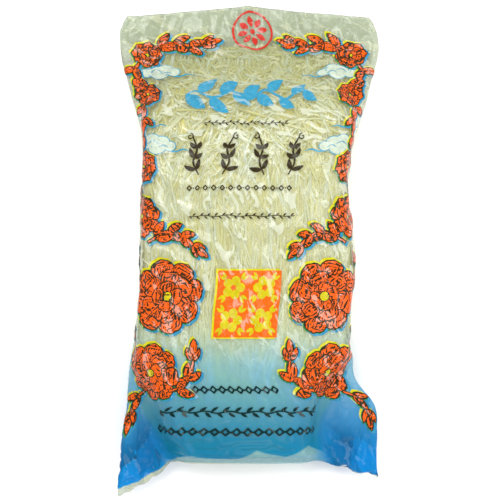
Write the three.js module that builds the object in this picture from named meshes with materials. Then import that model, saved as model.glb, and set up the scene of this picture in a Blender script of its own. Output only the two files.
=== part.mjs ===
// A sealed clear film bag packed with a bundle of dried glass noodles, lying on its back with its
// printed front up. Millimetres: +X is the bag's right, +Y its top end, +Z up out of the front.
// The film is a flat tube sealed across both ends. The bundle fills it like a brick with soft
// corners, so the tube is narrow along the bundle and flares where it empties: into a flat
// headband at the top, and into two flat ears beside the bottom end of the bundle.
import * as THREE from "three";
import { mergeVertices } from "three/addons/utils/BufferGeometryUtils.js";

const filmColour = 0xb9c7a0;
const filmRoughness = 0.3;
const layersApart = 1.0; // the two film layers where nothing is packed between them
const crownShare = 0.085; // how much the front panel bulges, as a share of the bag's thickness
const handleShare = 0.55; // length of a shoulder curve's handles, as a share of its width
const earDropPower = 0.7; // how the rows hang towards their ends in the ears
const topDropPower = 0.8; // and in the headband
const dropStart = 3; // how far inside the shoulder's foot the rows start to hang in the ears
const footRoom = 2; // added to a shoulder's height for the length of its lower handle
const headbandRise = [40, 90]; // heights over which the packed part passes into the headband
const weldDistance = 1e-3; // between points that are one point of the skin
const rowsPerStation = 3;
const panelColumns = 9; // from the centre line to a shoulder of the bundle
const shoulderColumns = 6; // round each shoulder of the bundle
const finColumns = 4; // from the shoulder's foot out to the folded side edge

// Cross-sections from the bottom seal to the top seal. y is at the centre line, and the row's two
// ends lie dropLeft and dropRight lower. left and right are the folded side edges, at height edge.
// The bundle's shoulders stand finLeft and finRight in from them, and curve in over shoulder; foot
// is how far a shoulder stops above and below the edge. front and back are the heights of the two
// panels over the bundle.
const fields = [
  "y", "dropLeft", "dropRight", "left", "right", "finLeft", "finRight",
  "shoulder", "foot", "edge", "front", "back",
];
const stations = [
  [-108.8, 21.0, 11.0, -67.6, 67.6, 25.0, 25.5, 14.0, 0.0, 11.0, 17.0, 17.0],
  [-110.8, 16.4, 7.3, -68.2, 67.6, 24.5, 26.0, 16.0, 0.5, 12.0, 23.0, 9.0],
  [-110.0, 14.8, 6.2, -68.8, 67.6, 23.5, 26.0, 17.0, 0.5, 13.0, 29.0, 4.0],
  [-106.2, 15.0, 6.6, -69.0, 67.5, 21.5, 25.5, 18.0, 0.5, 14.0, 34.0, 1.0],
  [-99.2, 12.4, 6.4, -68.4, 67.2, 17.0, 25.0, 19.0, 0.6, 16.0, 38.0, 0.0],
  [-90.4, 7.6, 4.6, -67.2, 67.2, 11.0, 24.0, 20.0, 0.8, 18.0, 41.0, 0.0],
  [-80.0, 3.0, 1.5, -64.6, 65.6, 6.0, 20.0, 21.0, 2.5, 20.0, 43.2, 0.0],
  [-66.0, 1.0, 0.5, -62.2, 55.6, 3.0, 8.0, 22.0, 5.5, 21.0, 44.6, 0.0],
  [-54.0, 0.0, 0.0, -60.4, 53.0, 2.0, 1.5, 21.0, 8.5, 21.5, 45.0, 0.0],
  [-35.0, 0.0, 0.0, -58.0, 52.9, 1.0, 0.8, 21.0, 9.0, 21.5, 45.0, 0.0],
  [-15.0, 0.0, 0.0, -56.3, 55.0, 0.8, 0.8, 20.0, 9.0, 21.5, 44.4, 0.0],
  [5.0, 0.0, 0.0, -56.2, 54.9, 0.8, 0.8, 20.0, 9.0, 21.5, 44.6, 0.0],
  [28.0, 0.0, 0.0, -55.9, 52.2, 0.8, 0.8, 20.0, 9.0, 21.0, 45.0, 0.0],
  [48.0, 0.0, 0.0, -55.5, 53.6, 0.8, 0.8, 20.0, 9.0, 20.0, 43.4, 0.0],
  [64.0, 0.0, 0.0, -56.6, 57.6, 1.2, 1.6, 20.0, 7.0, 17.0, 39.0, 0.0],
  [78.0, 0.4, 0.4, -61.2, 62.0, 4.0, 4.0, 21.0, 4.0, 12.0, 30.0, 0.0],
  [90.0, 0.8, 0.8, -64.9, 65.0, 9.0, 9.0, 20.0, 2.0, 7.5, 19.5, 0.0],
  [101.0, 1.4, 1.4, -67.6, 68.0, 14.0, 14.0, 18.0, 1.0, 4.2, 10.0, 0.0],
  [111.0, 2.4, 2.4, -68.4, 69.2, 16.0, 16.0, 16.0, 0.6, 2.6, 4.6, 0.2],
  [121.0, 4.0, 4.2, -67.6, 67.6, 14.0, 14.0, 13.0, 0.4, 2.0, 2.6, 0.6],
  [130.0, 5.6, 6.2, -63.4, 63.2, 10.0, 10.0, 10.0, 0.0, 1.6, 1.6, 1.6],
];

// Soft folds in the film: fanned ones where the tube flares into the headband, slanted ones in the
// ears, level ones over the bottom end of the bundle, and a slow ripple along the packed part. Each
// kind fades in or out between two heights, and the ears' and the end's between two distances from
// the centre line.
const folds = {
  fan: { height: 1.0, perMillimetre: 0.34, closing: 0.0016, phase: 0.9, from: [62, 84], to: [108, 126] },
  ear: { height: 1.2, perMillimetre: 0.42, slant: 0.9, to: [-104, -72], out: [40, 52] },
  end: { height: 0.8, perMillimetre: 0.55, slant: 0.06, phase: 0.4, to: [-106, -92], out: [30, 44] },
  body: { height: 0.45, across: 0.21, along: 0.047, phaseAcross: 0.5, phaseAlong: -0.4 },
};

// A smooth curve through one field of the stations, at a place counted in stations.
function alongBag(column, place) {
  const last = stations.length - 1;
  const from = Math.min(Math.floor(place), last - 1);
  const t = place - from;
  const value = (k) => stations[THREE.MathUtils.clamp(k, 0, last)][column];
  const [a, b, c, d] = [value(from - 1), value(from), value(from + 1), value(from + 2)];
  const linear = (c - a) * t;
  const square = (2 * a - 5 * b + 4 * c - d) * t ** 2;
  const cube = (3 * b - a - 3 * c + d) * t ** 3;
  return b + 0.5 * (linear + square + cube);
}

function stationAt(place) {
  return Object.fromEntries(fields.map((field, column) => [field, alongBag(column, place)]));
}

// One side of a cross-section, from the centre line out to the folded edge: the crowned panel, a
// cubic shoulder whose two handles are in line with the panel and with the fin, then the fin. The
// height of the panel is height - crown (x / startX)^2, and the row hangs by drop t^power, where t
// runs from 0 at fromX to 1 at the edge.
function halfSection(section, side, isFront) {
  const { lerp, smoothstep, clamp } = THREE.MathUtils;
  const edgeX = side < 0 ? section.left : section.right;
  const fin = side < 0 ? section.finLeft : section.finRight;
  const drop = side < 0 ? section.dropLeft : section.dropRight;
  const height = isFront ? section.front : section.back;
  const middleX = (section.left + section.right) / 2;
  const reach = Math.abs(edgeX - middleX);
  const footX = reach - fin;
  const footZ = section.edge + (isFront ? section.foot : -section.foot);
  const startX = footX - section.shoulder;
  const crown = isFront ? crownShare * (section.front - section.back) : 0;
  const startZ = height - crown;
  const handle = handleShare * section.shoulder;
  const finRun = new THREE.Vector2(fin, section.edge - footZ).normalize();
  const footHandle = handleShare * Math.min(section.shoulder, Math.abs(height - footZ) + footRoom);
  const foot = new THREE.Vector2(footX, footZ);
  const shoulder = new THREE.CubicBezierCurve(
    new THREE.Vector2(startX, startZ),
    new THREE.Vector2(startX + handle, startZ - (2 * crown * handle) / startX),
    foot.clone().addScaledVector(finRun, -footHandle),
    foot,
  );
  const points = [];
  for (let i = 0; i < panelColumns; i++) {
    const t = i / panelColumns;
    points.push(new THREE.Vector2(startX * t, height - crown * t * t));
  }
  for (let i = 0; i < shoulderColumns; i++) points.push(shoulder.getPoint(i / shoulderColumns));
  for (let i = 0; i <= finColumns; i++) {
    const t = i / finColumns;
    points.push(new THREE.Vector2(lerp(footX, reach, t), lerp(footZ, section.edge, t)));
  }
  const top = smoothstep(section.y, ...headbandRise);
  const fromX = Math.max(0, footX - dropStart) * (1 - top);
  const power = lerp(earDropPower, topDropPower, top);
  return points.map((p) => {
    const t = clamp((p.x - fromX) / (reach - fromX), 0, 1);
    return new THREE.Vector3(middleX + side * p.x, section.y - drop * t ** power, p.y);
  });
}

function foldHeight(x, y) {
  const { smoothstep } = THREE.MathUtils;
  const { fan, ear, end, body } = folds;
  const out = Math.abs(x);
  const inHeadband = smoothstep(y, ...fan.from) * (1 - smoothstep(y, ...fan.to));
  const inEars = (1 - smoothstep(y, ...ear.to)) * smoothstep(out, ...ear.out);
  const atEnd = (1 - smoothstep(y, ...end.to)) * (1 - smoothstep(out, ...end.out));
  const fanTurn = fan.perMillimetre - fan.closing * (y - fan.from[0]);
  const fanned = fan.height * Math.cos(x * fanTurn + fan.phase);
  const slanted = ear.height * Math.cos(ear.perMillimetre * (out + ear.slant * y));
  const level = end.height * Math.cos(end.perMillimetre * y + end.slant * x + end.phase);
  const ripple =
    body.height *
    Math.cos(body.across * x + body.phaseAcross) *
    Math.cos(body.along * y + body.phaseAlong);
  return fanned * inHeadband + slanted * inEars + level * atEnd + ripple;
}

// The closed skin: a front and a back grid of the same rows and columns, which meet along the
// folded side edges and along both seals.
function bagGeometry() {
  const rows = (stations.length - 1) * rowsPerStation;
  const [front, back] = [true, false].map((isFront) => {
    const grid = [];
    for (let r = 0; r <= rows; r++) {
      const section = stationAt(r / rowsPerStation);
      const left = halfSection(section, -1, isFront).slice(1).reverse();
      const right = halfSection(section, 1, isFront);
      grid.push([...left, ...right]);
    }
    return grid;
  });
  const columns = front[0].length - 1;
  for (let r = 0; r <= rows; r++) {
    for (let c = 0; c <= columns; c++) {
      const over = front[r][c];
      const under = back[r][c];
      const onRim = r === 0 || r === rows || c === 0 || c === columns;
      over.z += foldHeight(over.x, over.y);
      under.z = Math.max(under.z, 0);
      if (onRim) {
        over.lerp(under, 0.5);
        under.copy(over);
      } else {
        over.z = Math.max(over.z, under.z + layersApart);
      }
    }
  }
  const positions = [];
  for (let r = 0; r < rows; r++) {
    for (let c = 0; c < columns; c++) {
      const corners = (grid) => [grid[r][c], grid[r][c + 1], grid[r + 1][c + 1], grid[r + 1][c]];
      const [a, b, d, e] = corners(front);
      positions.push(a, b, d, a, d, e);
      const [f, g, h, i] = corners(back);
      positions.push(f, h, g, f, i, h);
    }
  }
  const skin = new THREE.BufferGeometry().setFromPoints(positions);
  const closed = mergeVertices(skin, weldDistance);
  closed.computeBoundingBox();
  const centre = closed.boundingBox.getCenter(new THREE.Vector3());
  closed.translate(-centre.x, -centre.y, -closed.boundingBox.min.z);
  return closed;
}

const noodleBag = new THREE.Mesh(
  bagGeometry(),
  new THREE.MeshStandardMaterial({ color: filmColour, roughness: filmRoughness, metalness: 0 }),
);
noodleBag.name = "noodle_bag";

const bag = new THREE.Group();
bag.add(noodleBag);

export default bag;
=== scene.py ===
# A sealed clear film bag of dried glass noodles, lying on its back with its printed front up.
# The film is one flat tube, sealed across both ends, that buckles over the bundle packed inside.
import time

import bpy
import numpy as np
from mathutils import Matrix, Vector


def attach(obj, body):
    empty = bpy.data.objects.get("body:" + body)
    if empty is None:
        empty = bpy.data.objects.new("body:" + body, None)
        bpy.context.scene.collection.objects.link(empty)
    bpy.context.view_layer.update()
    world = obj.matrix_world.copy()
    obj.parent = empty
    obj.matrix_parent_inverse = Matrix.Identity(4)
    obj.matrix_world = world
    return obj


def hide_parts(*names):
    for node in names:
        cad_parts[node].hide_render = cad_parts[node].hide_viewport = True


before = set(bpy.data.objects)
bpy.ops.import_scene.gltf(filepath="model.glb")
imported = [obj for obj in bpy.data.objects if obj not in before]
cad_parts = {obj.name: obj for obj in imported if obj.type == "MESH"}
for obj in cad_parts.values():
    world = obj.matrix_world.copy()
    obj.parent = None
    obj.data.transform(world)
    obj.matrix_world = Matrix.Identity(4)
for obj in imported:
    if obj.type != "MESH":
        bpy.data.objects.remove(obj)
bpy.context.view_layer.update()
mm = 0.001
startTime = time.time()


def report(stage):
    print(f"{time.time() - startTime:6.1f} s  {stage}")


# One row a cross-section, from the bottom seal to the top seal, in millimetres: height along the
# bag, how much lower its left and right ends lie, left and right folded edge, width of the flat fin
# beside the bundle left and right, shoulder and foot of the bundle, height of the edge, of the
# front panel and of the back panel.
bagSections = np.array([
    (-108.8, 21.0, 11.0, -67.6, 67.6, 25.0, 25.5, 14.0, 0.0, 11.0, 17.0, 17.0),
    (-110.8, 16.4, 7.3, -68.2, 67.6, 24.5, 26.0, 16.0, 0.5, 12.0, 23.0, 9.0),
    (-110.0, 14.8, 6.2, -68.8, 67.6, 23.5, 26.0, 17.0, 0.5, 13.0, 29.0, 4.0),
    (-106.2, 15.0, 6.6, -69.0, 67.5, 21.5, 25.5, 18.0, 0.5, 14.0, 34.0, 1.0),
    (-99.2, 12.4, 6.4, -68.4, 67.2, 17.0, 25.0, 19.0, 0.6, 16.0, 38.0, 0.0),
    (-90.4, 7.6, 4.6, -67.2, 67.2, 11.0, 24.0, 20.0, 0.8, 18.0, 41.0, 0.0),
    (-80.0, 3.0, 1.5, -64.6, 65.6, 6.0, 20.0, 21.0, 2.5, 20.0, 43.2, 0.0),
    (-66.0, 1.0, 0.5, -62.2, 55.6, 3.0, 8.0, 22.0, 5.5, 21.0, 44.6, 0.0),
    (-54.0, 0.0, 0.0, -60.4, 53.0, 2.0, 1.5, 21.0, 8.5, 21.5, 45.0, 0.0),
    (-35.0, 0.0, 0.0, -58.0, 52.9, 1.0, 0.8, 21.0, 9.0, 21.5, 45.0, 0.0),
    (-15.0, 0.0, 0.0, -56.3, 55.0, 0.8, 0.8, 20.0, 9.0, 21.5, 44.4, 0.0),
    (5.0, 0.0, 0.0, -56.2, 54.9, 0.8, 0.8, 20.0, 9.0, 21.5, 44.6, 0.0),
    (28.0, 0.0, 0.0, -55.9, 52.2, 0.8, 0.8, 20.0, 9.0, 21.0, 45.0, 0.0),
    (48.0, 0.0, 0.0, -55.5, 53.6, 0.8, 0.8, 20.0, 9.0, 20.0, 43.4, 0.0),
    (64.0, 0.0, 0.0, -56.6, 57.6, 1.2, 1.6, 20.0, 7.0, 17.0, 39.0, 0.0),
    (78.0, 0.4, 0.4, -61.2, 62.0, 4.0, 4.0, 21.0, 4.0, 12.0, 30.0, 0.0),
    (90.0, 0.8, 0.8, -64.9, 65.0, 9.0, 9.0, 20.0, 2.0, 7.5, 19.5, 0.0),
    (101.0, 1.4, 1.4, -67.6, 68.0, 14.0, 14.0, 18.0, 1.0, 4.2, 10.0, 0.0),
    (111.0, 2.4, 2.4, -68.4, 69.2, 16.0, 16.0, 16.0, 0.6, 2.6, 4.6, 0.2),
    (121.0, 4.0, 4.2, -67.6, 67.6, 14.0, 14.0, 13.0, 0.4, 2.0, 2.6, 0.6),
    (130.0, 5.6, 6.2, -63.4, 63.2, 10.0, 10.0, 10.0, 0.0, 1.6, 1.6, 1.6),
])
sectionNames = ("y", "dropLeft", "dropRight", "left", "right", "finLeft", "finRight",
                "shoulder", "foot", "edge", "front", "back")
film = dict(
    crown=0.085,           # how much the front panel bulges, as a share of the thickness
    spacing=1.0,           # of the film's rows
    columns=150,           # across one panel
    width=141.0,           # of the flat tube
    layersApart=0.4,       # of the two layers where nothing lies between them
    handle=0.55,           # length of the shoulder curve's handles, as a share of its width
    handleLeast=2,         # added to the height that limits the lower one
    frontStarts=-100,      # the height above which the front's middle line only rises
    earDropPower=0.7,      # how the bottom end falls away sideways, and how the top end does
    topDropPower=0.8,
    topFrom=40, topTo=90,  # where the first of them gives way to the second
    dropInside=3,          # how far inside the bundle's foot the bottom end starts to fall
    finFrom=0.5, finTo=9,  # widths of fin over which the bundle's own form is set in
    finKept=0.8,           # of the fin, in the bundle's own form
    curvePoints=40,        # along each of the three parts of half a cross-section
    sectionPoints=4000,    # along the bag, to measure its length
)


# Catmull-Rom curve from b to c at the share t of the way, with the neighbours a and d.
def throughPoints(a, b, c, d, t):
    return 0.5 * (2 * b + (c - a) * t + (2 * a - 5 * b + 4 * c - d) * t**2 + (3 * b - a - 3 * c + d) * t**3)


# The sections at places counted in sections.
def sectionsAt(place):
    last = len(bagSections) - 1
    k = np.clip(np.floor(place).astype(int), 0, last - 1)
    around = (bagSections[np.clip(k + i, 0, last)] for i in (-1, 0, 1, 2))
    return dict(zip(sectionNames, throughPoints(*around, (place - k)[:, None]).T[:, :, None]))


# Rises from 0 at low to 1 at high as t t (3 - 2 t).
def smoothStep(x, low, high):
    t = np.clip((x - low) / (high - low), 0, 1)
    return t * t * (3 - 2 * t)


# Half a cross-section, from the centre line out to the folded edge: a crowned panel
# z = height - crown (x / start)^2, a cubic shoulder that leaves the panel and meets the fin in
# line with them, and the straight fin. The points are spread evenly by their arc length.
def halfSections(f, side, isFront, inset):
    edgeX = f["left"] if side < 0 else f["right"]
    fin = f["finLeft"] if side < 0 else f["finRight"]
    drop = f["dropLeft"] if side < 0 else f["dropRight"]
    middle = (f["left"] + f["right"]) / 2
    reach = np.abs(edgeX - middle)
    footX = reach - fin - inset * smoothStep(fin, film["finFrom"], film["finTo"])
    height = f["front"] if isFront else f["back"]
    footZ = f["edge"] + (1 if isFront else -1) * f["foot"]
    startX = footX - f["shoulder"]
    crown = film["crown"] * (f["front"] - f["back"]) if isFront else 0 * height
    startZ = height - crown
    s = np.linspace(0, 1, film["curvePoints"])[None, :]
    handle = film["handle"] * f["shoulder"]
    finLength = np.hypot(fin, f["edge"] - footZ)
    lower = np.minimum(f["shoulder"], np.abs(height - footZ) + film["handleLeast"])
    back = film["handle"] * lower / finLength
    kept = np.minimum(fin, film["finKept"]) if inset else fin
    x1, z1 = startX + handle, startZ - 2 * crown * handle / startX
    x2, z2 = footX - back * fin, footZ - back * (f["edge"] - footZ)
    w = ((1 - s) ** 3, 3 * s * (1 - s) ** 2, 3 * s * s * (1 - s), s**3)
    shoulderX = w[0] * startX + w[1] * x1 + w[2] * x2 + w[3] * footX
    shoulderZ = w[0] * startZ + w[1] * z1 + w[2] * z2 + w[3] * footZ
    x = np.hstack([startX * s, shoulderX, footX + kept * s])
    z = np.hstack([height - crown * s**2, shoulderZ, footZ + (f["edge"] - footZ) * s])
    top = smoothStep(f["y"], film["topFrom"], film["topTo"])
    fromX = np.maximum(0, footX - film["dropInside"]) * (1 - top)
    power = film["earDropPower"] * (1 - top) + film["topDropPower"] * top
    y = f["y"] - drop * np.clip((x - fromX) / (reach - fromX), 0, 1) ** power
    points = np.stack([middle + side * x, y, z, x - footX], axis=-1)
    run = np.linalg.norm(np.diff(points[..., :3], axis=1), axis=2)
    run = np.hstack([0 * run[:, :1], np.cumsum(run, axis=1)])
    count = film["columns"] // 2 + 1
    even = np.empty((len(points), count, 4))
    for r, line in enumerate(points):
        at = np.linspace(0, run[r, -1], count)
        for axis in range(4):
            even[r, :, axis] = np.interp(at, run[r], line[:, axis])
    return even


# The film before it buckles, as rows of rings: a ring runs over the front from the left edge to
# the right one, and back under the bundle. The rows stand evenly along the front's middle. Gives
# the points, how far each lies outside the bundle's foot, and the length of the middle. An inset
# gives the bundle's own form, with its sides that much further in beside the fins.
def filmRings(inset=0):
    dense = np.linspace(0, len(bagSections) - 1, film["sectionPoints"])
    f = sectionsAt(dense)
    run = np.hypot(np.diff(f["y"][:, 0]), np.diff(f["front"][:, 0]))
    run = np.concatenate([[0], np.cumsum(run)])
    rows = int(round(run[-1] / film["spacing"])) + 1
    f = sectionsAt(np.interp(np.linspace(0, run[-1], rows), run, dense))
    panels = []
    for side, isFront in ((-1, True), (1, False)):
        panels.append(halfSections(f, side, isFront, inset)[:, ::-1])
        panels.append(halfSections(f, -side, isFront, inset)[:, 1:-1])
    rings = np.concatenate(panels, axis=1)
    return rings[..., :3], rings[..., 3], run[-1]


# Vectors divided by their lengths.
def unit(v):
    return v / np.maximum(np.linalg.norm(v, axis=-1, keepdims=True), 1e-9)


# Outward normals of a ring grid: its step across, crossed with its step along.
def ringNormals(p):
    across = np.roll(p, -1, axis=1) - np.roll(p, 1, axis=1)
    along = np.gradient(p, axis=0)
    return unit(np.cross(across, along))


# A value between four corners: share s of the way down, share t of the way across.
def betweenCorners(values, i, j, nextJ, s, t):
    top = values[i, j] * (1 - t) + values[i, nextJ] * t
    low = values[i + 1, j] * (1 - t) + values[i + 1, nextJ] * t
    return top * (1 - s) + low * s


# Smooth noise on a grid that closes round: random values on a coarse lattice, joined smoothly.
def gridNoise(rng, rows, columns, size):
    a, b = max(2, int(rows / size) + 2), max(2, int(round(columns / size)))
    lattice = rng.standard_normal((a, b))
    lattice = np.concatenate([lattice, lattice[:, :1]], axis=1)
    r = np.linspace(0, a - 1.001, rows)[:, None]
    c = np.linspace(0, b - 0.001, columns, endpoint=False)[None, :]
    i, j = r.astype(int), c.astype(int)
    return betweenCorners(lattice, i, j, j + 1, smoothStep(r - i, 0, 1), smoothStep(c - j, 0, 1))


# Values of a coarse ring grid, read evenly on a finer one.
def stretchGrid(values, rows, ring):
    r = np.linspace(0, len(values) - 1, rows)[:, None]
    c = (np.arange(ring) * values.shape[1] / ring)[None, :]
    i, j = np.minimum(r.astype(int), len(values) - 2), c.astype(int)
    return betweenCorners(values, i, j, (j + 1) % values.shape[1], (r - i)[..., None], (c - j)[..., None])


# Reads a ring grid between its points: columns go round, rows stop at the ends.
def readRings(values, row, column):
    rows, ring = values.shape[:2]
    row = np.clip(row, 0, rows - 1.001)
    column = column % ring
    i, j = row.astype(int), np.minimum(column.astype(int), ring - 1)
    return betweenCorners(values, i, j, (j + 1) % ring, (row - i)[..., None], (column - j)[..., None])


# How much longer the film is than the form it lies on, and over which stretches: heights above
# or below the middle of the bag, and distances outside the bundle's foot.
slack = dict(
    across=0.022, along=0.018, patchy=0.5, patches=12, least=0.002, most=0.12,
    ears=0.05, earsBelow=(70, 95), earsOutside=(-6, 3),
    headband=0.02, headbandAbove=(70, 95),
    sides=0.045, sidesOutside=(-26, -12), sidesBelow=(-40, 10), sidesEnd=(85, 100),
    end=0.02, endBelow=(96, 110), endOutside=(-12, -2),
)


# The slack across and along: an even share that varies in patches, and more of it in the ears,
# the headband, the sides and the bottom end, each a product of smooth steps.
def slackFields(p, outside, rng):
    y = p[..., 1]
    rows, columns = y.shape
    patch = 1 + slack["patchy"] * gridNoise(rng, rows, columns, rows / slack["patches"])
    ears = smoothStep(-y, *slack["earsBelow"]) * smoothStep(outside, *slack["earsOutside"])
    top = smoothStep(y, *slack["headbandAbove"])
    sides = smoothStep(outside, *slack["sidesOutside"]) * smoothStep(-y, *slack["sidesBelow"])
    sides = sides * (1 - smoothStep(-y, *slack["sidesEnd"]))
    end = smoothStep(-y, *slack["endBelow"]) * (1 - smoothStep(outside, *slack["endOutside"]))
    across = slack["across"] * patch + slack["ears"] * ears
    across = across + slack["headband"] * top + slack["sides"] * sides
    along = slack["along"] * patch + slack["ears"] * ears + slack["end"] * end
    return [np.clip(field, slack["least"], slack["most"]) for field in (across, along)]


buckling = dict(
    seed=7,
    levels=((4, 0.05, 0.8), (2, 0.03, 0.95), (1, 0.02, 1.0)),  # grid step, stiffness, share of slack
    rounds=160,
    start=0.12, startSize=1.5,       # height of the first bumps per grid step, and their size
    reach=1.2, reachByStep=1.0,      # how far the film may stand off the form
    straight=0.3, slanting=0.2,      # how hard edges and diagonals pull
    inBundle=0.8, inFlat=2.5,        # how far it may sink where it is packed, and where it is flat
    flatAbove=(104, 114), flatOutside=(0, 5),
    sideways=0.6, offFloor=0.8,      # shares of the reach and of the height over the floor
    sealRows=5, lowest=0.05,
)


# Lets the film buckle: each edge of the grid is pulled to its rest length, a little longer than
# the form's, while the film stays close to the form, out of the bundle and off the floor.
def relax(form, outside, start, across, along, stiffness, reach):
    rows, ring = form.shape[:2]
    columns = ring // 2
    normal = ringNormals(form)
    p = start.copy()
    restRing = np.linalg.norm(np.roll(form, -1, 1) - form, axis=2) * (1 + across)
    restLong = np.linalg.norm(form[1:] - form[:-1], axis=2) * (1 + along[1:])
    mean = (across + along)[1:] / 2
    restUp = np.linalg.norm(np.roll(form, -1, 1)[1:] - form[:-1], axis=2) * (1 + mean)
    restDown = np.linalg.norm(np.roll(form, 1, 1)[1:] - form[:-1], axis=2) * (1 + mean)
    restRing2 = restRing + np.roll(restRing, -1, 1)
    restLong2 = restLong[1:] + restLong[:-1]
    mirror = (-np.arange(ring)) % ring

    def pull(a, b, rest, share):
        d = b - a
        length = np.maximum(np.sqrt(np.einsum("ijk,ijk->ij", d, d)), 1e-9)
        return d * ((share * (length - rest) / length)[..., None])

    flat = np.maximum(smoothStep(form[..., 1], *buckling["flatAbove"]),
                      smoothStep(outside, *buckling["flatOutside"]))
    inward = -(buckling["inBundle"] * (1 - flat) + buckling["inFlat"] * flat)
    isFront = np.arange(ring)[None, :] <= columns
    outward = np.where(isFront, reach, np.minimum(reach, form[..., 2] * buckling["offFloor"]))
    seal = buckling["sealRows"]
    for _ in range(buckling["rounds"]):
        c = pull(p, np.roll(p, -1, 1), restRing, buckling["straight"])
        p += c - np.roll(c, 1, 1)
        c = pull(p[:-1], p[1:], restLong, buckling["straight"])
        p[:-1] += c
        p[1:] -= c
        for way, rest in ((-1, restUp), (1, restDown)):
            c = pull(p[:-1], np.roll(p, way, 1)[1:], rest, buckling["slanting"])
            p[:-1] += c
            p[1:] -= np.roll(c, -way, 1)
        c = pull(p, np.roll(p, -2, 1), restRing2, stiffness)
        p += c - np.roll(c, 2, 1)
        c = pull(p[:-2], p[2:], restLong2, stiffness)
        p[:-2] += c
        p[2:] -= c
        d = p - form
        out = np.einsum("ijk,ijk->ij", d, normal)
        side = d - normal * out[..., None]
        length = np.linalg.norm(side, axis=2)
        side *= np.minimum(1, reach * buckling["sideways"] / np.maximum(length, 1e-9))[..., None]
        p = form + side + normal * np.clip(out, inward, outward)[..., None]
        # the front layer stays above the back one, and the two are one in the seals
        gap = p[:, :columns + 1, 2] - p[:, mirror][:, :columns + 1, 2]
        lift = np.maximum(0, film["layersApart"] - gap) / 2
        lift[:, 0] = lift[:, columns] = 0
        p[:, :columns + 1, 2] += lift
        p[:, mirror[:columns + 1], 2] -= lift
        for band in (slice(0, seal), slice(rows - seal, rows)):
            p[band] = (p[band] + p[band][:, mirror]) / 2
        p[..., 2] = np.maximum(p[..., 2], buckling["lowest"])
    return p


# The film's form, the film after it has buckled on grids that get finer, and its length.
def buckledFilm():
    rng = np.random.default_rng(buckling["seed"])
    fine, outside, length = filmRings()
    across, along = slackFields(fine, outside, rng)
    offset = None
    for size, stiffness, share in buckling["levels"]:
        keep = np.unique(np.append(np.arange(0, len(fine), size), len(fine) - 1))
        form, rim, a, b = (grid[keep, ::size] for grid in (fine, outside, across, along))
        rows, ring = form.shape[:2]
        bumps = buckling["start"] * size * gridNoise(rng, rows, ring, buckling["startSize"])
        start = form + bumps[..., None] * ringNormals(form)
        if offset is not None:
            start = start + stretchGrid(offset, rows, ring)
        reach = buckling["reach"] + buckling["reachByStep"] * size
        settled = relax(form, rim, start, a * share, b * share, stiffness, reach)
        offset = settled - form
        report(f"film relaxed at {size} mm")
    return fine, settled, length


# Writes a mesh from points in millimetres and four-cornered faces, and links it.
def makePiece(name, points, faces, material):
    mesh = bpy.data.meshes.new(name)
    mesh.vertices.add(len(points))
    mesh.vertices.foreach_set("co", (np.asarray(points) * mm).astype(np.float32).ravel())
    mesh.loops.add(faces.size)
    mesh.loops.foreach_set("vertex_index", faces.astype(np.int32).ravel())
    mesh.polygons.add(len(faces))
    mesh.polygons.foreach_set("loop_start", np.arange(0, faces.size, 4, dtype=np.int32))
    mesh.update(calc_edges=True)
    mesh.validate()
    mesh.shade_smooth()
    mesh.materials.append(material)
    piece = bpy.data.objects.new(name, mesh)
    bpy.context.scene.collection.objects.link(piece)
    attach(piece, "root")
    return piece


# Faces of a tube of rings, whose first and last ring are pressed flat and joined across: there the
# mirrored points are one point. Returns the points in use, their numbers in the grid, and the faces.
def ringFaces(p):
    rows, ring = p.shape[:2]
    j = np.arange(ring)
    index = np.arange(rows)[:, None] * ring + j
    corners = (index[:-1], np.roll(index[:-1], -1, 1), np.roll(index[1:], -1, 1), index[1:])
    same = np.arange(rows * ring)
    for r in (0, rows - 1):
        same[r * ring + j] = r * ring + np.minimum(j, (-j) % ring)
    used, faces = np.unique(same[np.stack(corners, axis=-1).reshape(-1, 4)], return_inverse=True)
    return p.reshape(-1, 3)[used], used, faces.reshape(-1, 4)


# A material without nodes, and its tree.
def newMaterial(name):
    material = bpy.data.materials.new(name)
    material.use_nodes = True
    material.node_tree.nodes.clear()
    return material, material.node_tree


# Adds a node with its settings. Its inputs are given by name, or as i0, i1 and so on by number, and
# each is a fixed value or the output that feeds it.
def node(tree, kind, settings=None, **inputs):
    made = tree.nodes.new("ShaderNode" + kind)
    for key, value in (settings or {}).items():
        setattr(made, key, value)
    for key, value in inputs.items():
        numbered = key[0] == "i" and key[1:].isdigit()
        socket = made.inputs[int(key[1:]) if numbered else key.replace("_", " ")]
        if isinstance(value, bpy.types.NodeSocket):
            tree.links.new(value, socket)
        else:
            socket.default_value = value
    return made


# The outputs of single nodes: a step of arithmetic, a straight or smooth rise from one range to
# another, a mix of two colours, a noise, and the place on the piece.
def maths(tree, operation, *values, clamp=False):
    inputs = {f"i{k}": value for k, value in enumerate(values)}
    return node(tree, "Math", {"operation": operation, "use_clamp": clamp}, **inputs).outputs[0]


def mapRange(tree, value, low, high, toLow=0.0, toHigh=1.0, smooth=False):
    kind = {"interpolation_type": "SMOOTHSTEP" if smooth else "LINEAR"}
    return node(tree, "MapRange", kind, Value=value, From_Min=low, From_Max=high,
                To_Min=toLow, To_Max=toHigh).outputs[0]


def blend(tree, share, first, second, kind="MIX"):
    settings = {"data_type": "RGBA", "blend_type": kind}
    return node(tree, "Mix", settings, i0=share, i6=first, i7=second).outputs[2]


def noise(tree, vector, scale, **more):
    return node(tree, "TexNoise", Vector=vector, Scale=scale, **more).outputs["Fac"]


def objectPlace(tree):
    return node(tree, "TexCoord").outputs["Object"]


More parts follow.
